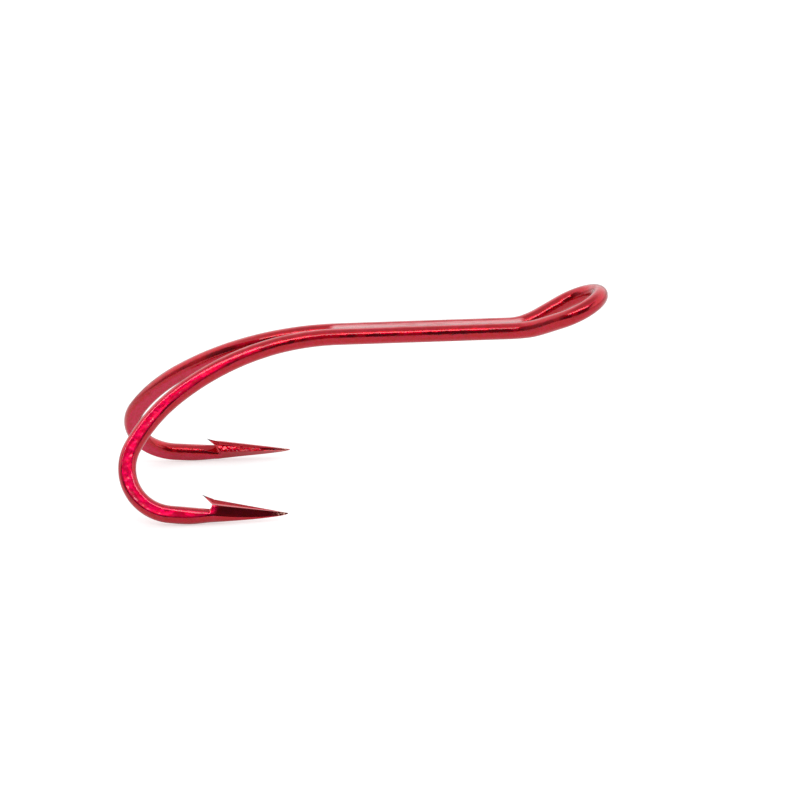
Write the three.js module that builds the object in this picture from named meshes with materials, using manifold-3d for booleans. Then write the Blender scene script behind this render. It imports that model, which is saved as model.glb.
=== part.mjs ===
// Double fishing hook with a turned-up eye. One wire is folded at its middle into the eye. Its two
// legs lie side by side along the shank, where a braze filler joins them, then part into two splayed
// bends that end in barbed points.
// Millimetres: X runs along the shank towards the eye, Z is up, and the two hooks mirror each other in Y.

import * as THREE from "three";
import { ConvexGeometry } from "three/addons/geometries/ConvexGeometry.js";
import { mergeVertices } from "three/addons/utils/BufferGeometryUtils.js";
import Module from "manifold-3d";

const { degToRad, clamp, lerp } = THREE.MathUtils;

// Wire and shank
const WIRE_RADIUS = 0.5;
const WIRE_SIDES = 20; // flats round the section of the modelled wire
const LEG_SPACING = 1.1; // between the centres of the two legs
const SHANK_LENGTH = 10; // straight stretch from the neck of the eye to the start of the bend

// Eye: a round loop in a plane that turns up from the shank
const EYE_RADIUS = 1.8; // to the middle of the wire
const EYE_CENTRE = 3.9; // along the wire's own line from the neck
const EYE_TURN_UP = degToRad(23);
const NECK_UP_RADIUS = 4.8; // of the upward bend
const NECK_OUT_RADIUS = 2.5; // of the bend that spreads the legs into the loop

// Bend: three arcs that tighten towards the point, in a plane splayed out from the vertical
const SPLAY = degToRad(32);
const BEND_ARCS = [
  { radius: 15.7, angle: degToRad(37.5), steps: 9 },
  { radius: 10, angle: degToRad(22.5), steps: 5 },
  { radius: 2.8, angle: degToRad(113.5), steps: 18 },
];

// Forged flats on both sides of each bend
const FORGED_HALF_THICKNESS = 0.44; // at the back of the bend
const FORGED_FADE_LENGTH = 9; // from the back of the bend to where the wire is round again
const FORGING_SLAB = 0.12; // thickness of the slab that cuts each flat

// Point and barb. A station is a distance back from the tip, and a height is measured from the wire's
// middle line towards the shank.
const POINT_LENGTH = 6.8; // from the end of the bend to the tip
const TAPER_STATION = 5.8; // where the round wire starts to taper
const ROOT = { station: 4.3, belly: -0.25, shoulder: 0.66, crest: 1.05, halfWidth: 0.45 };
const MIDDLE = { station: 1, belly: 0.3, shoulder: 0.62, crest: 0.7, halfWidth: 0.14 };
const TIP_HEIGHT = 0.6;
const CREST_SHARE = 0.2; // half width of the crest over the half width of the section
const BARB_TIP = { station: 5.05, height: 1.32, halfWidth: 0.03 };
const BARB_ROOT = { station: 4.38, height: 0.7, halfWidth: 0.36 };
const HIDDEN_OVERLAP = 0.2; // how far joined solids run into each other
const HIDDEN_INSET = 0.004; // how far a hidden end stays inside its neighbour's surface
const TAPER_INSET = { belly: 0.06, halfWidth: 0.03, top: 0.02 }; // the taper's hidden end inside the point
const BURIED_CREST_DROP = 0.03; // the barb's hidden end below the crest
const BELLY_STEPS = 8; // round the belly of a section

// Braze filler between the legs
const BRAZE_GAP = 0.02; // clearance to the wire
const BRAZE_HALF_WIDTH = 0.42;
const BRAZE_HALF_HEIGHT = 0.46;
const BRAZE_BEYOND_NECK = 1.3; // how far it fills the crotch of the eye
const BRAZE_BEYOND_SHANK = 0.9; // how far it runs on between the parting legs
const BRAZE_STEPS = 8; // round the bend of the neck

const WIRE_MATERIAL = new THREE.MeshStandardMaterial({ color: 0xc2002f, roughness: 0.18, metalness: 1 });
const BRAZE_MATERIAL = new THREE.MeshStandardMaterial({ color: 0xd98a9c, roughness: 0.35, metalness: 1 });

const wasm = await Module();
wasm.setup();

function toSolid(geometry) {
  const bare = new THREE.BufferGeometry().setAttribute("position", geometry.getAttribute("position").clone());
  if (geometry.index) bare.setIndex(geometry.index.clone());
  const merged = mergeVertices(bare, 1e-5);
  return new wasm.Manifold(
    new wasm.Mesh({
      numProp: 3,
      vertProperties: new Float32Array(merged.getAttribute("position").array),
      triVerts: new Uint32Array(merged.index.array),
    }),
  );
}

function toGeometry(solid) {
  const mesh = solid.getMesh();
  const geometry = new THREE.BufferGeometry();
  geometry.setAttribute("position", new THREE.BufferAttribute(mesh.vertProperties, 3));
  geometry.setIndex(new THREE.BufferAttribute(mesh.triVerts, 1));
  geometry.computeVertexNormals();
  return geometry;
}

// A curve made of pieces, each with its own number of steps, so that tight bends get the most sections.
class SteppedCurve extends THREE.Curve {
  constructor(pieces) {
    super();
    this.pieces = pieces;
    this.steps = pieces.reduce((sum, piece) => sum + piece.steps, 0);
  }

  getPoint(t) {
    let step = clamp(t, 0, 1) * this.steps;
    let index = 0;
    while (index < this.pieces.length - 1 && step > this.pieces[index].steps) {
      step -= this.pieces[index].steps;
      index += 1;
    }
    return this.pieces[index].at(step / this.pieces[index].steps);
  }

  getUtoTmapping(u) {
    return u;
  }
}

// The flat outline of the eye and neck, rolled up by the bend of the neck.
function turnUp(along, side) {
  if (along <= 0) return new THREE.Vector3(along, side, 0);
  const turn = Math.min(along / NECK_UP_RADIUS, EYE_TURN_UP);
  const rest = Math.max(along - NECK_UP_RADIUS * EYE_TURN_UP, 0);
  return new THREE.Vector3(
    NECK_UP_RADIUS * Math.sin(turn) + rest * Math.cos(EYE_TURN_UP),
    side,
    NECK_UP_RADIUS * (1 - Math.cos(turn)) + rest * Math.sin(EYE_TURN_UP),
  );
}

// From the crown of the eye to the neck, on the +Y side: the loop, a tangent and the neck's outward bend.
function eyePieces() {
  const rise = LEG_SPACING / 2 + NECK_OUT_RADIUS;
  const apart = Math.hypot(EYE_CENTRE, rise);
  const spread = Math.asin((NECK_OUT_RADIUS + EYE_RADIUS) / apart) - Math.atan2(rise, EYE_CENTRE);
  const loopEnd = Math.PI / 2 + spread;
  const onLoop = (angle) => [EYE_CENTRE + EYE_RADIUS * Math.cos(angle), EYE_RADIUS * Math.sin(angle)];
  const onNeck = (angle) => [NECK_OUT_RADIUS * Math.sin(angle), rise - NECK_OUT_RADIUS * Math.cos(angle)];
  const [loopX, loopY] = onLoop(loopEnd);
  const [neckX, neckY] = onNeck(spread);
  return [
    { steps: 14, at: (f) => turnUp(...onLoop(f * loopEnd)) },
    { steps: 5, at: (f) => turnUp(lerp(loopX, neckX, f), lerp(loopY, neckY, f)) },
    { steps: 3, at: (f) => turnUp(...onNeck(spread * (1 - f))) },
  ];
}

// The bend's own plane: x along the shank from the start of the bend, z towards the shank.
function walkBend() {
  let x = 0;
  let z = 0;
  let heading = 0;
  const pieces = BEND_ARCS.map(({ radius, angle, steps }) => {
    const start = { x, z, heading };
    const at = (f) => {
      const turned = start.heading + f * angle;
      return [
        start.x - radius * (Math.sin(turned) - Math.sin(start.heading)),
        start.z + radius * (Math.cos(turned) - Math.cos(start.heading)),
      ];
    };
    [x, z] = at(1);
    heading += angle;
    return { steps, at };
  });
  return { pieces, x, z, heading };
}

const bend = walkBend();

// Places something drawn in the bend's plane, whose Y is the plane's normal, on the +Y or -Y leg.
function legMatrix(side) {
  return new THREE.Matrix4()
    .makeRotationX(side * SPLAY)
    .setPosition(-SHANK_LENGTH, (side * LEG_SPACING) / 2, 0);
}

// Places something drawn in stations and heights in the bend's plane: X back from the tip, Y across.
function pointMatrix() {
  const back = new THREE.Vector3(Math.cos(bend.heading), 0, Math.sin(bend.heading));
  const up = new THREE.Vector3(back.z, 0, -back.x);
  const across = new THREE.Vector3().crossVectors(up, back);
  const tip = new THREE.Vector3(bend.x, 0, bend.z).addScaledVector(back, -POINT_LENGTH);
  return new THREE.Matrix4().makeBasis(back, across, up).setPosition(tip);
}

// From the neck to the start of the taper, on the +Y side.
function legPieces() {
  const place = legMatrix(1);
  const onLeg = (x, z) => new THREE.Vector3(x, 0, z).applyMatrix4(place);
  const straight = POINT_LENGTH - TAPER_STATION;
  const headingX = -Math.cos(bend.heading);
  const headingZ = -Math.sin(bend.heading);
  return [
    { steps: 2, at: (f) => new THREE.Vector3(-f * SHANK_LENGTH, LEG_SPACING / 2, 0) },
    ...bend.pieces.map(({ steps, at }) => ({ steps, at: (f) => onLeg(...at(f)) })),
    { steps: 2, at: (f) => onLeg(bend.x + f * straight * headingX, bend.z + f * straight * headingZ) },
  ];
}

function mirrored({ steps, at }) {
  return { steps, at: (f) => at(1 - f).multiply(new THREE.Vector3(1, -1, 1)) };
}

// The whole wire as one swept tube, from the -Y point round the eye to the +Y point.
function wireTube(radius) {
  const half = [...eyePieces(), ...legPieces()];
  const path = new SteppedCurve([...half.map(mirrored).reverse(), ...half]);
  const section = new THREE.Shape().absarc(0, 0, radius, 0, 2 * Math.PI);
  const options = { steps: path.steps, extrudePath: path, curveSegments: WIRE_SIDES / 2 };
  return toSolid(new THREE.ExtrudeGeometry(section, options));
}

// A ring of points round the wire's middle line at one station.
function wireRing(station) {
  return Array.from({ length: WIRE_SIDES }, (_, i) => {
    const angle = (2 * Math.PI * i) / WIRE_SIDES;
    const radius = WIRE_RADIUS - HIDDEN_INSET;
    return new THREE.Vector3(station, radius * Math.sin(angle), radius * Math.cos(angle));
  });
}

// Half of a section is a round belly and an upright side.
function bellyAndSides({ station, belly, halfWidth }, sideTop) {
  const bellyTop = belly + halfWidth;
  const round = Array.from({ length: BELLY_STEPS + 1 }, (_, i) => {
    const angle = (Math.PI * i) / BELLY_STEPS;
    return new THREE.Vector3(station, halfWidth * Math.cos(angle), bellyTop - halfWidth * Math.sin(angle));
  });
  const sides = [-halfWidth, halfWidth].map((y) => new THREE.Vector3(station, y, sideTop));
  return [...round, ...sides];
}

function crestPoints({ station, crest, halfWidth }) {
  return [-1, 1].map((side) => new THREE.Vector3(station, side * halfWidth * CREST_SHARE, crest));
}

// The tapered point with its gabled top.
function pointSolid() {
  const outline = [ROOT, MIDDLE].flatMap((s) => [...bellyAndSides(s, s.shoulder), ...crestPoints(s)]);
  return toSolid(new ConvexGeometry([...outline, new THREE.Vector3(0, 0, TIP_HEIGHT)]));
}

// The wire's last stretch, which narrows at its sides and belly into the point.
function taperSolid() {
  const end = {
    station: ROOT.station - HIDDEN_OVERLAP,
    belly: ROOT.belly + TAPER_INSET.belly,
    halfWidth: ROOT.halfWidth - TAPER_INSET.halfWidth,
  };
  const hiddenStart = wireRing(TAPER_STATION + HIDDEN_OVERLAP);
  const hiddenEnd = bellyAndSides(end, WIRE_RADIUS - TAPER_INSET.top);
  return toSolid(new ConvexGeometry([...hiddenStart, ...wireRing(TAPER_STATION), ...hiddenEnd]));
}

// The sliver of wire raised above the notch.
function barbSolid() {
  const across = (station, halfWidth, height) =>
    [-halfWidth, halfWidth].map((y) => new THREE.Vector3(station, y, height));
  const buried = ROOT.station - HIDDEN_OVERLAP;
  return toSolid(
    new ConvexGeometry([
      ...across(BARB_TIP.station, BARB_TIP.halfWidth, BARB_TIP.height),
      ...across(BARB_ROOT.station, BARB_ROOT.halfWidth, BARB_ROOT.height),
      ...across(ROOT.station, ROOT.halfWidth * CREST_SHARE, ROOT.crest),
      ...across(buried, BARB_ROOT.halfWidth, ROOT.shoulder),
      ...across(buried, ROOT.halfWidth * CREST_SHARE, ROOT.crest - BURIED_CREST_DROP),
    ]),
  );
}

// Two slabs that press flats on the sides of a bend and tilt away from it towards the point.
function forgingSolid() {
  const [open, closing, tight] = BEND_ARCS;
  const backShare = (Math.PI / 2 - open.angle - closing.angle) / tight.angle;
  const [backX] = bend.pieces[2].at(backShare);
  const length = FORGED_FADE_LENGTH + 2 * WIRE_RADIUS;
  const tilt = Math.atan2(WIRE_RADIUS - FORGED_HALF_THICKNESS, FORGED_FADE_LENGTH);
  const slabs = [-1, 1].map((side) => {
    const slab = new THREE.BoxGeometry(length, FORGING_SLAB, 2 * length);
    slab.translate(length / 2 - 2 * WIRE_RADIUS, (side * FORGING_SLAB) / 2, 0);
    return toSolid(slab.rotateZ(side * tilt).translate(backX, side * FORGED_HALF_THICKNESS, 0));
  });
  return slabs[0].add(slabs[1]);
}

function placed(solid, matrix) {
  return toSolid(toGeometry(solid).applyMatrix4(matrix));
}

function hookWire() {
  const point = placed(pointSolid().add(taperSolid()).add(barbSolid()), pointMatrix());
  const forging = forgingSolid();
  return [-1, 1].reduce(
    (wire, side) => wire.subtract(placed(forging, legMatrix(side))).add(placed(point, legMatrix(side))),
    wireTube(WIRE_RADIUS),
  );
}

// The filler follows the middle of the shank from between the parting legs to the crotch of the eye.
function brazeFiller() {
  const start = -SHANK_LENGTH - BRAZE_BEYOND_SHANK;
  const path = new SteppedCurve([
    { steps: 1, at: (f) => turnUp(lerp(start, 0, f), 0) },
    { steps: BRAZE_STEPS, at: (f) => turnUp(f * BRAZE_BEYOND_NECK, 0) },
  ]);
  const section = new THREE.Shape()
    .moveTo(-BRAZE_HALF_HEIGHT, -BRAZE_HALF_WIDTH)
    .lineTo(BRAZE_HALF_HEIGHT, -BRAZE_HALF_WIDTH)
    .lineTo(BRAZE_HALF_HEIGHT, BRAZE_HALF_WIDTH)
    .lineTo(-BRAZE_HALF_HEIGHT, BRAZE_HALF_WIDTH);
  const bar = new THREE.ExtrudeGeometry(section, { steps: path.steps, extrudePath: path });
  return toSolid(bar).subtract(wireTube(WIRE_RADIUS + BRAZE_GAP));
}

function part(name, solid, material) {
  const mesh = new THREE.Mesh(toGeometry(solid), material);
  mesh.name = name;
  return mesh;
}

const hook = new THREE.Group();
hook.add(part("hook_wire", hookWire(), WIRE_MATERIAL));
hook.add(part("braze_filler", brazeFiller(), BRAZE_MATERIAL));

// The origin is the middle of the bottom of the hook's box.
const box = new THREE.Box3().setFromObject(hook);
const middle = box.getCenter(new THREE.Vector3());
hook.position.set(-middle.x, -middle.y, -box.min.z);

export default hook;
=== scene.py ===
"""The looks of the double hook: a fine lacquered wire with forged flats, ground points and cut
barbs, and the braze between its legs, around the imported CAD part.

Shapes are worked out in millimetres from the neck of the eye, where the shank starts, and become
metres in the CAD frame when each mesh is made. The +Y half of the wire is built and then mirrored.
"""

import math

import bmesh
import bpy
import numpy as np
from mathutils import Matrix, Vector, noise


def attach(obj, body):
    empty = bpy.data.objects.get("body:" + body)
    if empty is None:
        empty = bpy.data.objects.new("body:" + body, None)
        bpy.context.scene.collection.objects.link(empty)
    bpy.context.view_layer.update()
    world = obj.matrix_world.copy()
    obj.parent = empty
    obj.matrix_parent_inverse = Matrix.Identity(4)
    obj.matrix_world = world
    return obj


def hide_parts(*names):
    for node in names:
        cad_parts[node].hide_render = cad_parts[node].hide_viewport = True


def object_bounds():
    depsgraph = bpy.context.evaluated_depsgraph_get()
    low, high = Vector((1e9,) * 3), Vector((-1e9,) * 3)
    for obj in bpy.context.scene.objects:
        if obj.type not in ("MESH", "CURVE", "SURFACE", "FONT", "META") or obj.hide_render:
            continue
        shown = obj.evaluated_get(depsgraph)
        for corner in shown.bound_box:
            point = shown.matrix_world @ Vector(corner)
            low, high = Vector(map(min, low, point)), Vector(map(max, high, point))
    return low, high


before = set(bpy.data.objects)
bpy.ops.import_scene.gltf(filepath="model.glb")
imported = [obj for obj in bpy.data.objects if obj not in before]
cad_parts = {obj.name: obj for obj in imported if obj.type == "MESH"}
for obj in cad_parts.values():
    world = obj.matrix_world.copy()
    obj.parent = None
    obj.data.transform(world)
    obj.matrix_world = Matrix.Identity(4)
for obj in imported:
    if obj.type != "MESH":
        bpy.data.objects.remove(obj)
cad_low, cad_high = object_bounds()

MM = 0.001

# Wire and shank
CAD_WIRE_RADIUS = 0.5
WIRE_RADIUS = 0.4905
LEG_SPACING = 1.1
SHANK_LENGTH = 10.0

# Eye
EYE_RADIUS = 1.8
EYE_CENTRE = 3.9
EYE_TURN_UP = math.radians(23)
NECK_UP_RADIUS = 4.8
NECK_OUT_RADIUS = 2.5

# Bend
SPLAY = math.radians(32)
BEND_ARCS = ((15.7, math.radians(37.5)), (10.0, math.radians(22.5)), (2.8, math.radians(113.5)))

# Forging: flats on both sides of the bend, which fade out towards the shank and the point
FORGED_HALF_THICKNESS = 0.41
FORGED_DISH = 0.008
FORGED_FADE_LENGTH = 9.0
FORGED_ONTO_SHANK = 0.5
FORGED_SPREAD = 0.14
RIDGE_SOFTNESS = 0.035
FLAT_EDGE = 0.05
FLAT_MARGIN = 0.004

# Point and barb: stations run back from the tip, heights from the wire's middle line
# towards the shank
POINT_LENGTH = 6.8
TAPER_STATION = 6.5
ROOT_STATION = 4.25
ROOT_HALF_WIDTH = 0.46
WIDTH_CURVE = 0.9
TIP_HEIGHT = 0.65
TIP_RADIUS = 0.018
BELLY_DROP = 1.04
BELLY_STATION = 5.5
BELLY_CURVE = 0.66
BELLY_WIDTH_AT_TIP = 0.55
BELLY_WIDTH_GAIN = 0.45
BELLY_WIDTH_CURVE = 2.5
BELLY_ROUNDNESS = 0.9
CREST_RISE = 0.455
CREST_HALF_WIDTH = 0.12
CREST_ROUNDING = 0.02
SHOULDER_RISE = 0.01
SHOULDER_EASE = 0.025
EASE_ABOVE = 0.9
EASE_BELOW = 0.6
HOLLOW_GRIND = 0.05
NOTCH_STATION = 4.31
NOTCH_FLOOR = 0.445
NOTCH_FLOOR_SLOPE = 0.06
NOTCH_BACK_STATION = 6.4
NOTCH_TOP = 1.6
NOTCH_HALF_WIDTH = 0.8
NOTCH_SKEW = 0.28
NOTCH_TILT = 0.05
BARB_TIP_STATION = 5.05
BARB_TIP_HEIGHT = 1.315
BARB_TIP_HALF_WIDTH = 0.012
BARB_ROOT_HEIGHT = 0.7
BARB_HALF_WIDTH = 0.4
BARB_WIDTH_CURVE = 1.2
BARB_SLOPE = 0.3
BARB_CURVE = 1.15
BARB_THINNEST = 0.01
BARB_HOLLOW_SHARE = 0.15
BARB_BITE = 0.12
BARB_OVERSHOOT = 0.03
CUT_ALLOWANCE = 0.03
SQUEEZE_BEFORE_TIP = 0.1
FOOT_SINK = 0.004

# Turns round a section of the point in degrees, from its crest: where the crest, the hollow top,
# the shoulder and the side end, and between which turns the side goes over to the belly
CREST_TURN = 5.0
TOP_TURN = 56.0
SHOULDER_TURN = 64.0
SIDE_TURN = 100.0
BELLY_TURNS = (112, 96)
NOTCH_BLEND_LENGTH = 0.12
BELLY_BLEND_STATION = 4.4

# Surface: hammered flats and slow waves along the drawn wire
HAMMER_SIZE = 0.3
HAMMER_DEPTH = 0.004
WAVE_SIZE = 0.7
WAVE_DEPTH = 0.0015
WAVE_STRETCH = (0.35, 1, 1)

# Surface: the scooped and dented inner facet of the point, and the stations where it fades
STRUCK_SIZE = 0.2
STRUCK_DEPTH = 0.011
INNER_SCOOP = 0.29
SCOOP_PEAK = 0.35
SCOOP_TIP_FADE = (0.8, 2.2)
SCOOP_BARB_FADE = (5.0, 4.35)

# Stations and heights at which the lacquer changes
BARE_STATIONS = (4.8, 4.9)
BARE_HEIGHTS = (1.0, 1.15)
GROUND_STATIONS = (4.9, 4.3)
TIP_WEAR_AND_GLINT_STATIONS = (1.1, 0.1)

# Braze
BRAZE_CONTACT = math.radians(78)
BRAZE_LEAST_CONTACT = 0.02
BRAZE_DIP = 0.03
BRAZE_BITE = 0.02
BRAZE_RIPPLE = 0.03
BRAZE_START = -SHANK_LENGTH - 0.9
BRAZE_END = 1.35
BRAZE_END_LENGTH = 0.9
BRAZE_END_HOLLOW = 0.45

# Mesh density
COLUMNS = 96
ROW_SPACING = 0.06
FIRST_POINT_ROW = 0.03
BARB_ROW_SPACING = 0.02
BARB_ROWS_END = 4.1
POINT_ROW_SPACING = 0.04
TIP_ROWS_START = 0.5
TIP_ROWS = 24
TIP_CROWDING = 1.4
NOTCH_BOTTOM_STEPS = 11
BARB_UNDERSIDE_STEPS = 9
BRAZE_ROWS = 260
BRAZE_ACROSS = 24
BRAZE_SIDE = 12
WELD_DISTANCE = 0.0005
WIRE_CREASE = 24
BRAZE_CREASE = 40

# Lacquer: pattern sizes in millimetres, and its colours
SLOW_SIZE = 0.8
PATCH_SIZE = 0.35
MOTTLE_SIZE = 0.16
FINE_SIZE = 0.07
TINT_SWING = 0.25
RELIEF_DEPTH = 0.05
SKIN_DEPTH = 0.03
# Pale tip specks: lacquer worn through at the tips, made pale so that they also serve as painted
# glints.
WORN_GLINT_COLOUR = (1.0, 0.68, 0.55, 1)
BARE_COLOUR = (0.2, 0.19, 0.2, 1)
# The magenta is also laid on the forged flats as a painted sheen: a brighter, bluer red that stands for
# their brighter reflection of the softbox.
WIRE_RED, WIRE_MAGENTA, WIRE_LEAN = (0.58, 0.0, 0.008, 1), (0.72, 0.0, 0.07, 1), 0.12
BRAZE_RED, BRAZE_MAGENTA, BRAZE_LEAN = (0.6, 0.005, 0.015, 1), (0.72, 0.03, 0.08, 1), 0.4

# Camera: distances in millimetres, the view's centre right of and above the neck of the eye
CAMERA_ELEVATION = math.radians(17)
CAMERA_AZIMUTH = math.radians(-0.2)
CAMERA_ROLL = math.radians(-1.87)
CAMERA_DISTANCE = 300.0
SENSOR_WIDTH = 36
WIDTH_SEEN = 46.8
VIEW_RIGHT = -6.37
VIEW_UP = -4.19

# Studio: distances in metres
FLOOR_HALF_SIZE = 6.0
FLOOR_COLOUR = (0.62, 0.62, 0.62, 1)
FLOOR_GLOW = 0.25
FLOOR_GLOW_SEEN = 0.62
SOFTBOX_ELEVATION = math.radians(54)
SOFTBOX_DISTANCE = 0.6
SOFTBOX_WIDTH = 0.7
SOFTBOX_HEIGHT = 0.105
SOFTBOX_STRENGTH = 4.0
UNLIT_STRENGTH = 0.065
BACKDROP_STRENGTH = 1.1


def smoothstep(low, high, value):
    t = np.clip((np.asarray(value, float) - low) / (high - low), 0, 1)
    return t * t * (3 - 2 * t)


def turn_up(along, side):
    """The flat outline of the eye and neck, rolled up by the bend of the neck."""
    if along <= 0:
        return (along, side, 0.0)
    turn = min(along / NECK_UP_RADIUS, EYE_TURN_UP)
    rest = max(along - NECK_UP_RADIUS * EYE_TURN_UP, 0)
    x = NECK_UP_RADIUS * math.sin(turn) + rest * math.cos(EYE_TURN_UP)
    z = NECK_UP_RADIUS * (1 - math.cos(turn)) + rest * math.sin(EYE_TURN_UP)
    return (x, side, z)


def eye_pieces():
    """(length, function of 0 to 1) for the loop, the tangent and the neck's outward bend."""
    rise = LEG_SPACING / 2 + NECK_OUT_RADIUS
    apart = math.hypot(EYE_CENTRE, rise)
    spread = math.asin((NECK_OUT_RADIUS + EYE_RADIUS) / apart) - math.atan2(rise, EYE_CENTRE)
    loop_end = math.pi / 2 + spread

    def on_loop(angle):
        return EYE_CENTRE + EYE_RADIUS * math.cos(angle), EYE_RADIUS * math.sin(angle)

    def on_neck(angle):
        return NECK_OUT_RADIUS * math.sin(angle), rise - NECK_OUT_RADIUS * math.cos(angle)

    loop_x, loop_y = on_loop(loop_end)
    neck_x, neck_y = on_neck(spread)
    tangent = math.hypot(loop_x - neck_x, loop_y - neck_y)
    return [
        (EYE_RADIUS * loop_end, lambda f: turn_up(*on_loop(f * loop_end))),
        (tangent, lambda f: turn_up(loop_x + (neck_x - loop_x) * f, loop_y + (neck_y - loop_y) * f)),
        (NECK_OUT_RADIUS * spread, lambda f: turn_up(*on_neck(spread * (1 - f)))),
    ]


def walk_bend():
    """The arcs of the bend in its own plane, and where and in which direction they end."""
    x = z = heading = 0.0
    pieces = []
    for radius, angle in BEND_ARCS:
        def at(f, x0=x, z0=z, h0=heading, r=radius, a=angle):
            turned_to = h0 + f * a
            across = x0 - r * (math.sin(turned_to) - math.sin(h0))
            return across, z0 + r * (math.cos(turned_to) - math.cos(h0))

        pieces.append((radius * angle, at))
        x, z = at(1)
        heading += angle
    return pieces, x, z, heading


BEND_PIECES, BEND_X, BEND_Z, HEADING = walk_bend()
LEG_MATRIX = (
    Matrix.Translation((-SHANK_LENGTH, LEG_SPACING / 2, 0)) @ Matrix.Rotation(SPLAY, 4, "X")
)
PLANE_NORMAL = np.array((0, math.cos(SPLAY), math.sin(SPLAY)))


def on_leg(x, z):
    return tuple(LEG_MATRIX @ Vector((x, 0, z)))


def beyond_bend(along):
    """A place on the middle line this far beyond the end of the bend."""
    return on_leg(BEND_X - along * math.cos(HEADING), BEND_Z - along * math.sin(HEADING))


def half_rows():
    """Centre points, and each row's station on the point, from the crown of the eye to the tip."""
    straight = POINT_LENGTH - TAPER_STATION
    pieces = eye_pieces()
    pieces.append((SHANK_LENGTH, lambda f: (-f * SHANK_LENGTH, LEG_SPACING / 2, 0.0)))
    pieces += [(length, lambda f, at=at: on_leg(*at(f))) for length, at in BEND_PIECES]
    pieces.append((straight, lambda f: beyond_bend(f * straight)))
    centres = [pieces[0][1](0)]
    for length, at in pieces:
        count = max(2, round(length / ROW_SPACING))
        centres += [at(i / count) for i in range(1, count + 1)]
    stations = [math.inf] * len(centres)
    for station in point_stations():
        centres.append(beyond_bend(POINT_LENGTH - station))
        stations.append(station)
    return np.array(centres), np.array(stations)


def point_stations():
    """Rows crowd together round the barb and at the tip."""
    barb = np.arange(TAPER_STATION - FIRST_POINT_ROW, BARB_ROWS_END, -BARB_ROW_SPACING)
    middle = np.arange(barb[-1] - POINT_ROW_SPACING, TIP_ROWS_START, -POINT_ROW_SPACING)
    tip = middle[-1] * (1 - np.linspace(0, 1, TIP_ROWS)[1:]) ** TIP_CROWDING
    return np.concatenate([barb, middle, tip])


def transport(centres):
    """Side and height vectors of the rows. The side vector is the bend plane's normal along the
    bend, carried without twist up to the crown of the eye."""
    tangents = np.gradient(centres, axis=0)
    tangents /= np.linalg.norm(tangents, axis=1)[:, None]
    sides = np.empty_like(centres)
    sides[-1] = PLANE_NORMAL
    for i in range(len(centres) - 2, -1, -1):
        side = sides[i + 1] - tangents[i] * (sides[i + 1] @ tangents[i])
        sides[i] = side / np.linalg.norm(side)
    return sides, np.cross(tangents, sides)


def along_line(share, start, end, hollow=0.0):
    """Points between two (across, height) corners, bowed inwards at the middle by hollow."""
    (y0, h0), (y1, h1) = start, end
    length = math.hypot(y1 - y0, h1 - h0) or 1.0
    bow = 4 * share * (1 - share) * hollow / length
    return y0 + (y1 - y0) * share + (h1 - h0) * bow, h0 + (h1 - h0) * share - (y1 - y0) * bow


def belly_height(station):
    drop = BELLY_DROP * (station / BELLY_STATION) ** BELLY_CURVE
    return TIP_HEIGHT - drop - TIP_RADIUS * max(1 - station, 0)


def notch_floor(station):
    """Height of the shaved floor that runs back from the notch along the wire."""
    return NOTCH_FLOOR + NOTCH_FLOOR_SLOPE * (station - NOTCH_STATION)


def underside_height(station):
    """The hollow underside of the barb, rising from the notch to the barb's tip."""
    t = (station - NOTCH_STATION) / (BARB_TIP_STATION - NOTCH_STATION)
    return BARB_ROOT_HEIGHT + (BARB_TIP_HEIGHT - BARB_ROOT_HEIGHT) * t


def ground_section(station, turns):
    """The ground point: a hollow gabled top, sides that lean in to the belly, and a round belly."""
    share = min(station / ROOT_STATION, 1.0)
    shoulder_width = ROOT_HALF_WIDTH * share**WIDTH_CURVE + TIP_RADIUS * (1 - share)
    crest = TIP_HEIGHT + CREST_RISE * share
    shoulder = TIP_HEIGHT + SHOULDER_RISE * share
    belly = belly_height(station)
    fullness = BELLY_WIDTH_AT_TIP + BELLY_WIDTH_GAIN * share**BELLY_WIDTH_CURVE
    belly_width = shoulder_width * fullness
    belly_top = belly + belly_width * BELLY_ROUNDNESS
    ease = SHOULDER_EASE * share
    corners = [
        (0.0, (0.0, crest)),
        (CREST_TURN, (CREST_HALF_WIDTH * shoulder_width, crest - CREST_ROUNDING * share)),
        (TOP_TURN, (shoulder_width - ease, shoulder + EASE_ABOVE * ease)),
        (SHOULDER_TURN, (shoulder_width, shoulder - EASE_BELOW * ease)),
        (SIDE_TURN, (belly_width, belly_top)),
    ]
    across, height = np.zeros_like(turns), np.zeros_like(turns)
    for (t0, p0), (t1, p1) in zip(corners, corners[1:]):
        inside = (turns >= t0) & (turns <= t1)
        hollow = HOLLOW_GRIND * share if t1 == TOP_TURN else 0.0
        line = along_line((turns[inside] - t0) / (t1 - t0), p0, p1, hollow)
        across[inside], height[inside] = line
    under = turns > SIDE_TURN
    swing = np.radians((turns[under] - SIDE_TURN) * 90 / (180 - SIDE_TURN))
    across[under] = belly_width * np.cos(swing)
    height[under] = belly_top - (belly_top - belly) * np.sin(swing)
    return across, height


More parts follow.
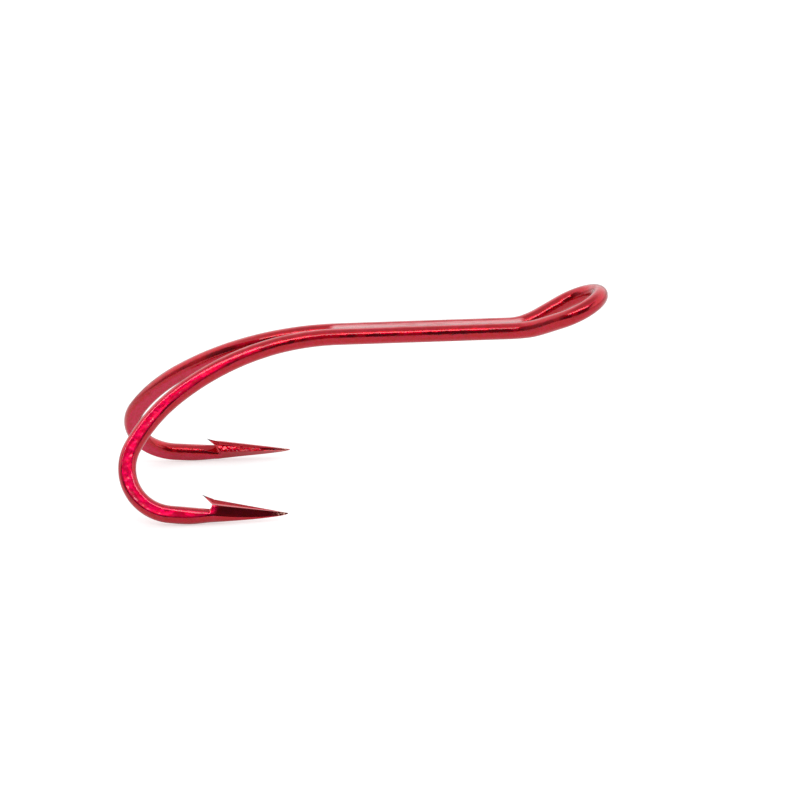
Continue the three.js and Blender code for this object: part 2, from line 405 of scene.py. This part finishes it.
def barb_section(station, turns, side, spread):
    """Round wire with the barb's wide sliver still standing on it, before the notch is cut away."""
    top_radius = WIRE_RADIUS * (1 + spread)
    local = station - side * NOTCH_SKEW * BARB_HALF_WIDTH / 2
    foot_height = notch_floor(local) + side * NOTCH_TILT * BARB_HALF_WIDTH / 2 - FOOT_SINK
    foot_turn = math.degrees(math.acos(min(foot_height / top_radius, 1)))
    squeeze = float(smoothstep(TAPER_STATION, BARB_TIP_STATION + SQUEEZE_BEFORE_TIP, station))
    above_foot = turns * foot_turn / SHOULDER_TURN
    below_foot = 180 - (180 - turns) * (180 - foot_turn) / (180 - SHOULDER_TURN)
    squeezed = np.where(turns <= SHOULDER_TURN, above_foot, below_foot)
    angles = np.radians(turns + (squeezed - turns) * squeeze)
    across = WIRE_RADIUS * np.sin(angles)
    height = np.where(angles < math.pi / 2, top_radius, WIRE_RADIUS) * np.cos(angles)
    past_root = station - ROOT_STATION
    spent = max(past_root / (BARB_TIP_STATION + BARB_OVERSHOOT - ROOT_STATION), 0)
    if spent >= 1:
        return across, height
    crest = TIP_HEIGHT + CREST_RISE + BARB_SLOPE * max(past_root, 0) ** BARB_CURVE
    under = min(underside_height(station), crest - BARB_THINNEST) - CUT_ALLOWANCE
    edge = max(BARB_HALF_WIDTH * (1 - spent**BARB_WIDTH_CURVE), BARB_TIP_HALF_WIDTH)
    top = turns <= TOP_TURN
    drop = (turns > TOP_TURN) & (turns <= SHOULDER_TURN)
    hollow = min(HOLLOW_GRIND, edge * BARB_HOLLOW_SHARE)
    across[top], height[top] = along_line(turns[top] / TOP_TURN, (0, crest), (edge, under), hollow)
    foot = (WIRE_RADIUS * math.sin(math.radians(foot_turn)), foot_height)
    down = (turns[drop] - TOP_TURN) / (SHOULDER_TURN - TOP_TURN)
    across[drop], height[drop] = along_line(down, (edge, under), foot)
    return across, height


def section_offsets(station, angles, spread):
    """(across, height) of a section's points. The plain wire is round, and higher on the inside
    of the bend where it is forged."""
    side = np.where(angles > math.pi, -1, 1)
    turns = np.degrees(angles)
    turns = np.where(turns > 180, 360 - turns, turns)
    if not math.isfinite(station):
        height = WIRE_RADIUS * np.cos(np.radians(turns))
        across = side * WIRE_RADIUS * np.sin(np.radians(turns))
        return across, height * np.where(height > 0, 1 + spread, 1)
    outer, inner = (barb_section(station, turns, way, spread) for way in (1, -1))
    across, height = (np.where(side > 0, out, into) for out, into in zip(outer, inner))
    ground_across, ground_height = ground_section(station, turns)
    local = station - side * NOTCH_SKEW * ROOT_HALF_WIDTH * np.minimum(turns / TOP_TURN, 1)
    top = smoothstep(NOTCH_STATION + NOTCH_BLEND_LENGTH, NOTCH_STATION, local)
    bottom = float(smoothstep(TAPER_STATION, BELLY_BLEND_STATION, station))
    share = bottom + (top - bottom) * smoothstep(*BELLY_TURNS, turns)
    across = across * (1 - share) + ground_across * share
    height = height * (1 - share) + ground_height * share
    return across * side, height


def press(across, half_thickness):
    """Flattens what lies beyond a half thickness, with a soft edge."""
    out = np.abs(across)
    beyond = out - half_thickness
    rounded = out - np.clip(beyond + RIDGE_SOFTNESS, 0, None) ** 2 / (4 * RIDGE_SOFTNESS)
    eased = np.where(beyond > RIDGE_SOFTNESS, half_thickness, rounded)
    return np.sign(across) * np.where(beyond < -RIDGE_SOFTNESS, out, eased)


def wobble(point, size, seed):
    """Smooth noise from -1 to 1 whose bumps are about this many millimetres apart."""
    return noise.noise(Vector(point) / size + Vector((seed, seed * 0.7, -seed)))


def dents(ring, size, seed, fine_seed):
    """Dents of two sizes at each point of a ring."""
    return np.array([wobble(p, size, seed) + 0.5 * wobble(p, size / 2, fine_seed) for p in ring])


def scoop_depth(ring, angles, station):
    """How deep the inner facet of the point is scooped and dented at each point of a ring."""
    turn = np.clip(np.degrees(2 * math.pi - angles) / TOP_TURN, 0, 1)
    hollow = np.minimum(turn / SCOOP_PEAK, 1) * (1 - turn) ** 2 * min(station / ROOT_STATION, 1)
    dented = 4 * turn * (1 - turn)
    faded = smoothstep(*SCOOP_TIP_FADE, station) * smoothstep(*SCOOP_BARB_FADE, station)
    return faded * (INNER_SCOOP * hollow + STRUCK_DEPTH * dented * dents(ring, STRUCK_SIZE, 1.9, 4.4))


def build_half():
    """Rings of points from the crown of the eye to the tip, and the marks that the lacquer reads
    at each point."""
    centres, stations = half_rows()
    sides, heights = transport(centres)
    steps = np.linalg.norm(np.diff(centres, axis=0), axis=1)
    lengths = np.concatenate([[0], np.cumsum(steps)])
    angles = 2 * math.pi * np.arange(COLUMNS) / COLUMNS
    back_x = centres[:, 0].min()
    forged_from_x = -SHANK_LENGTH + FORGED_ONTO_SHANK
    forging = CAD_WIRE_RADIUS - FORGED_HALF_THICKNESS
    rows = []
    marks = {"forged": [], "bare": [], "tip_wear_and_glint": [], "ground": [], "wire_space": []}
    for i, (centre, station) in enumerate(zip(centres, stations)):
        on_point = math.isfinite(station)
        from_back = centre[0] - back_x
        flat = FORGED_HALF_THICKNESS + forging * from_back / FORGED_FADE_LENGTH
        flat = flat if centre[0] < forged_from_x or on_point else 1.0
        pressed = max(0.0, min(1.0, (CAD_WIRE_RADIUS - flat) / forging))
        round_across, height = section_offsets(station, angles, FORGED_SPREAD * pressed)
        beyond = np.abs(round_across) - flat
        on_flat = pressed**0.5 * smoothstep(-FLAT_EDGE, 0.0, beyond + FLAT_MARGIN)
        across = press(round_across, flat)
        ring = centre + across[:, None] * sides[i] + height[:, None] * heights[i]
        if on_point:
            depth = scoop_depth(ring, angles, station)
            ring -= depth[:, None] * (heights[i] - sides[i]) / math.sqrt(2)
        else:
            waves = np.array([wobble(p * WAVE_STRETCH, WAVE_SIZE, 5.7) for p in ring])
            outward = (ring - centre) / np.linalg.norm(ring - centre, axis=1)[:, None]
            sunk = FORGED_DISH * np.clip(beyond, 0, None) / max(CAD_WIRE_RADIUS - flat, 0.01)
            sunk = sunk + HAMMER_DEPTH * on_flat * (1 + dents(ring, HAMMER_SIZE, 3.1, 8.3))
            ring -= (pressed * sunk)[:, None] * sides[i] * np.sign(across)[:, None]
            ring -= (WAVE_DEPTH * (1 - on_flat) * (1 + waves))[:, None] * outward
        rows.append(ring)
        bare = smoothstep(*BARE_STATIONS, station) * smoothstep(*BARE_HEIGHTS, height)
        marks["forged"].append(on_flat)
        marks["bare"].append(bare)
        marks["ground"].append(np.full(COLUMNS, smoothstep(*GROUND_STATIONS, station)))
        marks["tip_wear_and_glint"].append(np.full(COLUMNS, smoothstep(*TIP_WEAR_AND_GLINT_STATIONS, station)))
        spaced = np.column_stack([np.full(COLUMNS, lengths[i]), across, height])
        marks["wire_space"].append(spaced)
    return np.array(rows), {name: np.array(values) for name, values in marks.items()}


def tube_faces(rows, columns):
    """The faces of a closed tube of rings, with one flat face at each end."""
    faces = []
    for i in range(rows - 1):
        a, b = i * columns, (i + 1) * columns
        faces += [
            (a + j, a + (j + 1) % columns, b + (j + 1) % columns, b + j) for j in range(columns)
        ]
    faces.append(tuple(range(columns))[::-1])
    faces.append(tuple((rows - 1) * columns + j for j in range(columns)))
    return faces


def wire_mesh():
    """A closed grid from tip to tip, in millimetres."""
    rows, marks = build_half()
    grid = np.concatenate([rows[::-1] * (1, -1, 1), rows[1:]])
    faces = [face[::-1] for face in tube_faces(len(grid), COLUMNS)]
    mesh = bpy.data.meshes.new("wire")
    mesh.from_pydata(grid.reshape(-1, 3).tolist(), [], faces)
    for name, values in marks.items():
        way = -1 if name == "wire_space" else 1
        both = np.concatenate([values[::-1] * way, values[1:]])
        kind, key = ("FLOAT_VECTOR", "vector") if both.ndim == 3 else ("FLOAT", "value")
        made = mesh.attributes.new(name, kind, "POINT")
        made.data.foreach_set(key, both.reshape(-1).astype(np.float32))
    mesh.update()
    return mesh


def leg_beside(x):
    """Distance out and height of a leg's middle line at x, in the eye's own flat outline beyond
    the neck."""
    if x > 0:
        return LEG_SPACING / 2 + NECK_OUT_RADIUS - math.sqrt(NECK_OUT_RADIUS**2 - x * x), 0.0
    past = max(-SHANK_LENGTH - x, 0)
    radius = BEND_ARCS[0][0]
    drop = radius - math.sqrt(radius**2 - past * past)
    return LEG_SPACING / 2 + drop * math.sin(SPLAY), -drop * math.cos(SPLAY)


def turned(x, side, up):
    """A point at a height above the eye's flat outline, rolled up with it."""
    low = turn_up(x, side)
    turn = min(max(x, 0) / NECK_UP_RADIUS, EYE_TURN_UP)
    return (low[0] - up * math.sin(turn), side, low[2] + up * math.cos(turn))


def braze_section(x):
    """A ring of points: a hollow fillet above and below, and sides that bite into the two legs."""
    from_start = min((x - BRAZE_START) / BRAZE_END_LENGTH, 1)
    to_end = min((BRAZE_END - x) / BRAZE_END_LENGTH, 1)
    swell = (
        math.sqrt(max(1 - (1 - from_start) ** 2, 0)) * math.sqrt(max(1 - (1 - to_end) ** 2, 0))
    )
    contact = max(BRAZE_CONTACT * swell, BRAZE_LEAST_CONTACT)
    out, up = leg_beside(x)
    radius = WIRE_RADIUS - BRAZE_BITE
    half, high = out - radius * math.cos(contact), radius * math.sin(contact)
    top = [
        (half * k, high - BRAZE_DIP * swell * (1 - k * k))
        for k in np.linspace(1, -1, BRAZE_ACROSS + 1)
    ]
    side = [
        (-out + radius * math.cos(a), radius * math.sin(a))
        for a in np.linspace(contact, -contact, BRAZE_SIDE + 1)[1:-1]
    ]
    ring = top + side + [(-y, -h) for y, h in top] + [(-y, -h) for y, h in side]
    retreat = BRAZE_END_HOLLOW * BRAZE_END_LENGTH * ((1 - to_end) - (1 - from_start))
    placed = []
    for y, h in ring:
        here = x - retreat * (1 - min(abs(y) / half, 1) ** 2)
        streaks = wobble((here * 0.5, y * 2.5, 0), 0.35, 2.3)
        grain = 0.4 * streaks + 0.3 * wobble((here, y, h), 0.6, 6.1)
        placed.append(turned(here, y, up + h * (1 + BRAZE_RIPPLE * grain)))
    return placed


def braze_mesh():
    """A closed run of rings from the bend to the crotch of the eye, in millimetres."""
    rings = np.array([braze_section(x) for x in np.linspace(BRAZE_START, BRAZE_END, BRAZE_ROWS)])
    points = rings.reshape(-1, 3)
    mesh = bpy.data.meshes.new("braze")
    mesh.from_pydata(points.tolist(), [], tube_faces(len(rings), rings.shape[1]))
    made = mesh.attributes.new("wire_space", "FLOAT_VECTOR", "POINT")
    made.data.foreach_set("vector", points.reshape(-1))
    mesh.update()
    return mesh


def axes_matrix(x_axis, y_axis, z_axis, origin):
    return Matrix((
        (x_axis.x, y_axis.x, z_axis.x, origin.x),
        (x_axis.y, y_axis.y, z_axis.y, origin.y),
        (x_axis.z, y_axis.z, z_axis.z, origin.z),
        (0, 0, 0, 1),
    ))


def point_matrix(side):
    """Stations back from the tip along X, Y across, heights towards the shank along Z."""
    back = Vector((math.cos(HEADING), 0, math.sin(HEADING)))
    up = Vector((back.z, 0, -back.x))
    tip = Vector((BEND_X, 0, BEND_Z)) - back * POINT_LENGTH
    placed = LEG_MATRIX @ axes_matrix(back, up.cross(back), up, tip)
    return placed if side > 0 else Matrix.Diagonal((1, -1, 1, 1)) @ placed


def notch_profile():
    """The cut that raises the barb: a shaved floor, a round bottom and the barb's hollow underside."""
    middle = NOTCH_STATION + BARB_BITE
    floor_end = middle + 0.1
    floor = [
        (NOTCH_BACK_STATION, NOTCH_TOP),
        (NOTCH_BACK_STATION, notch_floor(NOTCH_BACK_STATION)),
        (floor_end, notch_floor(floor_end)),
    ]
    bottom = [
        (middle - BARB_BITE * math.sin(a), notch_floor(middle) + BARB_BITE * (1 - math.cos(a)))
        for a in np.linspace(math.radians(-15), math.radians(90), NOTCH_BOTTOM_STEPS)
    ]
    last = BARB_TIP_STATION + BARB_OVERSHOOT
    underside = [
        (s, underside_height(s)) for s in np.linspace(NOTCH_STATION, last, BARB_UNDERSIDE_STEPS)
    ]
    return floor + bottom + underside + [(BARB_TIP_STATION + 2 * BARB_OVERSHOOT, NOTCH_TOP)]


def prism(name, profile, half_width, matrix):
    """A closed, skewed prism whose profile lies in stations and heights of a hook's point."""
    bm = bmesh.new()
    left, right = (
        [bm.verts.new(matrix @ Vector((s - NOTCH_SKEW * y, y, h - NOTCH_TILT * y))) for s, h in profile]
        for y in (-half_width, half_width)
    )
    count = len(profile)
    bm.faces.new(left)
    bm.faces.new(right[::-1])
    for i in range(count):
        j = (i + 1) % count
        bm.faces.new((left[j], left[i], right[i], right[j]))
    bmesh.ops.recalc_face_normals(bm, faces=bm.faces)
    mesh = bpy.data.meshes.new(name)
    bm.to_mesh(mesh)
    bm.free()
    return bpy.data.objects.new(name, mesh)


def bake_modifiers(piece):
    graph = bpy.context.evaluated_depsgraph_get()
    graph.update()
    made = bpy.data.meshes.new_from_object(piece.evaluated_get(graph), depsgraph=graph)
    piece.modifiers.clear()
    piece.data = made


def weld(mesh):
    """Joins vertices that the cut leaves almost on top of each other, and takes out those with
    only two edges, where two faces would be split along the same diagonal. The mesh then stays
    closed when it is made of triangles."""
    bm = bmesh.new()
    bm.from_mesh(mesh)
    bmesh.ops.remove_doubles(bm, verts=bm.verts, dist=WELD_DISTANCE)
    bmesh.ops.dissolve_degenerate(bm, edges=bm.edges, dist=WELD_DISTANCE)
    bmesh.ops.dissolve_verts(bm, verts=[v for v in bm.verts if len(v.link_edges) == 2])
    bm.to_mesh(mesh)
    bm.free()


def cut_with(piece, cutters):
    """Takes each cutter away from the piece, welds what is left and removes the cutters."""
    for cutter in cutters:
        bpy.context.scene.collection.objects.link(cutter)
        modifier = piece.modifiers.new("cut", "BOOLEAN")
        modifier.operation = "DIFFERENCE"
        modifier.solver = "MANIFOLD"
        modifier.object = cutter
    bake_modifiers(piece)
    weld(piece.data)
    for cutter in cutters:
        bpy.data.objects.remove(cutter)


def sharpen(mesh, degrees):
    """Smooth shading with a crease wherever two faces meet at more than this angle."""
    mesh.shade_smooth()
    bm = bmesh.new()
    bm.from_mesh(mesh)
    limit = math.radians(degrees)
    for edge in bm.edges:
        edge.smooth = not (edge.is_manifold and edge.calc_face_angle(0) > limit)
    bm.to_mesh(mesh)
    bm.free()


def to_row_frame():
    """From millimetres at the neck to metres in the CAD frame, whose box ends at the eye's crown."""
    crown = turn_up(EYE_CENTRE + EYE_RADIUS, 0)
    x = cad_high.x - (crown[0] + CAD_WIRE_RADIUS) * MM
    z = cad_high.z - (crown[2] + CAD_WIRE_RADIUS) * MM
    return Matrix.Translation((x, 0, z)) @ Matrix.Scale(MM, 4)


def node(tree, kind, **values):
    made = tree.nodes.new(kind)
    for key, value in values.items():
        if key in made.inputs:
            made.inputs[key].default_value = value
        else:
            setattr(made, key, value)
    return made


def feed(tree, socket, value):
    """Links another node's output to a socket, or sets the socket to a plain value."""
    if isinstance(value, bpy.types.NodeSocket):
        tree.links.new(value, socket)
    else:
        socket.default_value = value


def noise_field(tree, place, bumps_apart, stretch=1.0, detail=2.0):
    """Noise whose bumps are about this many millimetres apart, and longer along the wire by the
    stretch."""
    longer = node(tree, "ShaderNodeVectorMath", operation="MULTIPLY")
    longer.inputs[1].default_value = (1 / (bumps_apart * stretch), 1 / bumps_apart, 1 / bumps_apart)
    tree.links.new(place, longer.inputs[0])
    made = node(tree, "ShaderNodeTexNoise", Scale=1.0, Detail=detail)
    tree.links.new(longer.outputs[0], made.inputs["Vector"])
    return made.outputs["Fac"]


def scaled(tree, source, low, high, start, end, curve="LINEAR"):
    """Goes from start to end while the source goes from low to high, and no further."""
    made = node(tree, "ShaderNodeMapRange", interpolation_type=curve)
    for name, value in (("From Min", low), ("From Max", high), ("To Min", start), ("To Max", end)):
        made.inputs[name].default_value = value
    tree.links.new(source, made.inputs["Value"])
    return made.outputs["Result"]


def maths(tree, operation, a, b):
    made = node(tree, "ShaderNodeMath", operation=operation)
    feed(tree, made.inputs[0], a)
    feed(tree, made.inputs[1], b)
    return made.outputs[0]


def mixed(tree, factor, a, b):
    made = node(tree, "ShaderNodeMix", data_type="RGBA")
    tree.links.new(factor, made.inputs["Factor"])
    feed(tree, made.inputs[6], a)
    feed(tree, made.inputs[7], b)
    return made.outputs[2]


def mixed_strength(tree, factor, a, b):
    made = node(tree, "ShaderNodeMix", data_type="FLOAT")
    tree.links.new(factor, made.inputs["Factor"])
    feed(tree, made.inputs["A"], a)
    feed(tree, made.inputs["B"], b)
    return made.outputs["Result"]


def attribute(tree, name):
    return node(tree, "ShaderNodeAttribute", attribute_name=name).outputs["Fac"]


def bumped(tree, height, strength, depth):
    """A bump of this depth in millimetres."""
    made = node(tree, "ShaderNodeBump", Distance=depth * MM)
    tree.links.new(height, made.inputs["Height"])
    feed(tree, made.inputs["Strength"], strength)
    return made.outputs["Normal"]


def lacquer(name, red, magenta, lean):
    """Clear red lacquer over bright metal: mottled metal below, and a glossy skin with a little
    orange peel above. The lean is the share of magenta on plain wire."""
    material = bpy.data.materials.new(name)
    material.use_nodes = True
    tree = material.node_tree
    links = tree.links
    shader = tree.nodes["Principled BSDF"]
    place = node(tree, "ShaderNodeAttribute", attribute_name="wire_space").outputs["Vector"]
    forged, bare, tip_wear_and_glint, ground = (
        attribute(tree, mark) for mark in ("forged", "bare", "tip_wear_and_glint", "ground")
    )
    slow = noise_field(tree, place, SLOW_SIZE, 2.5)
    patches = noise_field(tree, place, PATCH_SIZE, 2.2, 1.0)
    mottle = noise_field(tree, place, MOTTLE_SIZE, 1.3, 1.0)
    fine = noise_field(tree, place, FINE_SIZE, 1.0, 1.0)

    def plus(a, b):
        return maths(tree, "ADD", a, b)

    def less(a, b):
        return maths(tree, "SUBTRACT", a, b)

    def times(a, b):
        return maths(tree, "MULTIPLY", a, b)

    # Colour: magenta in the mottle and, as a painted sheen, on the forged flats; pale specks at the
    # tips that are partly worn lacquer and partly painted glints; bare barb ends
    tint = scaled(tree, mottle, 0.38, 0.62, lean - TINT_SWING, lean + TINT_SWING)
    # Painted sheen: the forged flats lean to the brighter magenta, standing for their brighter
    # reflection of the softbox.
    colour = mixed(tree, plus(tint, times(forged, 0.6)), red, magenta)
    # Pale specks near the tips: partly lacquer worn through, partly painted glints, kept pale so they
    # read bright.
    rubbed_and_glinting = times(tip_wear_and_glint, scaled(tree, fine, 0.5, 0.6, 0, 1))
    colour = mixed(tree, rubbed_and_glinting, colour, WORN_GLINT_COLOUR)
    colour = mixed(tree, bare, colour, BARE_COLOUR)
    links.new(colour, shader.inputs["Base Color"])

    # Roughness: smoother where it is ground, duller in patches, on the flats and on the rubbed specks
    # at the tips
    rough = less(scaled(tree, slow, 0.35, 0.65, 0.22, 0.32), times(ground, 0.07))
    dull = times(less(1, ground), scaled(tree, patches, 0.52, 0.64, 0, 0.22))
    dull = plus(dull, times(forged, 0.06))
    dull = plus(dull, times(rubbed_and_glinting, 0.5))
    links.new(plus(rough, dull), shader.inputs["Roughness"])

    # Relief of the metal, weaker where it is ground or forged, and of the skin
    relief = plus(plus(patches, times(mottle, 0.3)), times(fine, 0.05))
    strength = less(scaled(tree, ground, 0, 1, 0.6, 0.25), times(forged, 0.2))
    links.new(bumped(tree, relief, strength, RELIEF_DEPTH), shader.inputs["Normal"])
    skin = plus(slow, times(forged, times(mottle, 0.12)))
    links.new(bumped(tree, skin, 0.2, SKIN_DEPTH), shader.inputs["Coat Normal"])
    shader.inputs["Metallic"].default_value = 1
    shader.inputs["Coat Weight"].default_value = 1
    shader.inputs["Coat Roughness"].default_value = 0.03
    shader.inputs["Coat IOR"].default_value = 1.5
    return material


def camera_axes():
    """Back, right and up of a view across the shank and a little above it."""
    level = math.cos(CAMERA_ELEVATION)
    back = Vector((
        math.sin(CAMERA_AZIMUTH) * level,
        -math.cos(CAMERA_AZIMUTH) * level,
        math.sin(CAMERA_ELEVATION),
    ))
    flat_right = Vector((math.cos(CAMERA_AZIMUTH), math.sin(CAMERA_AZIMUTH), 0))
    flat_up = back.cross(flat_right)
    right = flat_right * math.cos(CAMERA_ROLL) + flat_up * math.sin(CAMERA_ROLL)
    up = flat_up * math.cos(CAMERA_ROLL) - flat_right * math.sin(CAMERA_ROLL)
    return back, right, up


def add_camera(place):
    """A camera with a long lens, placed in millimetres from the neck of the eye."""
    back, right, up = camera_axes()
    target = VIEW_RIGHT * right + VIEW_UP * up
    data = bpy.data.cameras.new("camera")
    data.sensor_width = SENSOR_WIDTH
    data.lens = SENSOR_WIDTH * CAMERA_DISTANCE / WIDTH_SEEN
    data.clip_start = 0.01
    data.clip_end = 50
    camera = bpy.data.objects.new("camera", data)
    camera.matrix_world = axes_matrix(right, up, back, place @ (target + back * CAMERA_DISTANCE))
    bpy.context.scene.collection.objects.link(camera)
    bpy.context.scene.camera = camera


def add_floor():
    """A white table under the hook, brighter where the camera sees it than where the hook does."""
    size = FLOOR_HALF_SIZE
    corners = [(-size, -size, 0), (size, -size, 0), (size, size, 0), (-size, size, 0)]
    mesh = bpy.data.meshes.new("floor")
    mesh.from_pydata(corners, [], [(0, 1, 2, 3)])
    floor = bpy.data.objects.new("floor", mesh)
    floor.location.z = cad_low.z
    bpy.context.scene.collection.objects.link(floor)
    material = bpy.data.materials.new("white_table")
    material.use_nodes = True
    tree = material.node_tree
    shader = tree.nodes["Principled BSDF"]
    shader.inputs["Base Color"].default_value = FLOOR_COLOUR
    shader.inputs["Emission Color"].default_value = (1, 1, 1, 1)
    seen = node(tree, "ShaderNodeLightPath").outputs["Is Camera Ray"]
    glow = scaled(tree, seen, 0, 1, FLOOR_GLOW, FLOOR_GLOW_SEEN)
    tree.links.new(glow, shader.inputs["Emission Strength"])
    shader.inputs["Roughness"].default_value = 0.9
    shader.inputs["Specular IOR Level"].default_value = 0.0
    mesh.materials.append(material)


def add_softbox():
    """A long softbox above the camera side."""
    level, rise = math.cos(SOFTBOX_ELEVATION), math.sin(SOFTBOX_ELEVATION)
    data = bpy.data.lights.new("softbox", "AREA")
    data.shape = "RECTANGLE"
    data.size = SOFTBOX_WIDTH
    data.size_y = SOFTBOX_HEIGHT
    data.energy = SOFTBOX_STRENGTH * math.pi * data.size * data.size_y
    light = bpy.data.objects.new("softbox", data)
    light.location = (0, -SOFTBOX_DISTANCE * level, SOFTBOX_DISTANCE * rise)
    light.rotation_euler = (math.pi / 2 - SOFTBOX_ELEVATION, 0, 0)
    bpy.context.scene.collection.objects.link(light)


def add_world():
    """White all round, with an unlit studio behind the camera and a dimmer ceiling."""
    world = bpy.data.worlds.new("studio")
    bpy.context.scene.world = world
    world.use_nodes = True
    tree = world.node_tree
    links = tree.links
    background = tree.nodes["Background"]
    background.inputs["Color"].default_value = (1, 1, 1, 1)
    coordinates = node(tree, "ShaderNodeTexCoord")
    axes = node(tree, "ShaderNodeSeparateXYZ")
    links.new(coordinates.outputs["Generated"], axes.inputs[0])
    across, behind, height = (axes.outputs[axis] for axis in "XYZ")

    def ramp(source, low, high, start, end):
        return scaled(tree, source, low, high, start, end, "SMOOTHSTEP")

    def times(a, b):
        return maths(tree, "MULTIPLY", a, b)

    unlit_low = ramp(height, 0.72, 0.77, 1, 0)
    unlit_front = ramp(behind, 0.15, -0.3, 0, 1)
    unlit_left = ramp(across, -0.85, -0.6, 0.8, 1)
    unlit_right = ramp(across, 0.85, 0.6, 0, 1)
    unlit = times(times(unlit_low, unlit_front), times(unlit_left, unlit_right))
    ceiling = ramp(height, 0.7, 0.95, 1.0, 0.55)
    horizon = ramp(height, 0.06, 0.24, 0.5, 1.1)
    studio = mixed_strength(tree, unlit, times(ceiling, horizon), UNLIT_STRENGTH)
    seen = node(tree, "ShaderNodeLightPath").outputs["Is Camera Ray"]
    strength = mixed_strength(tree, seen, studio, BACKDROP_STRENGTH)
    links.new(strength, background.inputs["Strength"])


PLACE = to_row_frame()

wire = bpy.data.objects.new("hook_wire_fine", wire_mesh())
bpy.context.scene.collection.objects.link(wire)
notch = notch_profile()
cut_with(wire, [prism("notch_cut", notch, NOTCH_HALF_WIDTH, point_matrix(side)) for side in (-1, 1)])
wire.data.transform(PLACE)
sharpen(wire.data, WIRE_CREASE)
wire.data.materials.clear()
wire.data.materials.append(lacquer("candy_lacquer", WIRE_RED, WIRE_MAGENTA, WIRE_LEAN))
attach(wire, "root")
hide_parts("hook_wire")

braze = bpy.data.objects.new("braze_fillet", braze_mesh())
bpy.context.scene.collection.objects.link(braze)
braze.data.transform(PLACE)
sharpen(braze.data, BRAZE_CREASE)
braze.data.materials.append(lacquer("lacquered_braze", BRAZE_RED, BRAZE_MAGENTA, BRAZE_LEAN))
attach(braze, "root")
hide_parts("braze_filler")

add_camera(PLACE)
add_floor()
add_softbox()
add_world()
bpy.context.scene.view_settings.view_transform = "Standard"
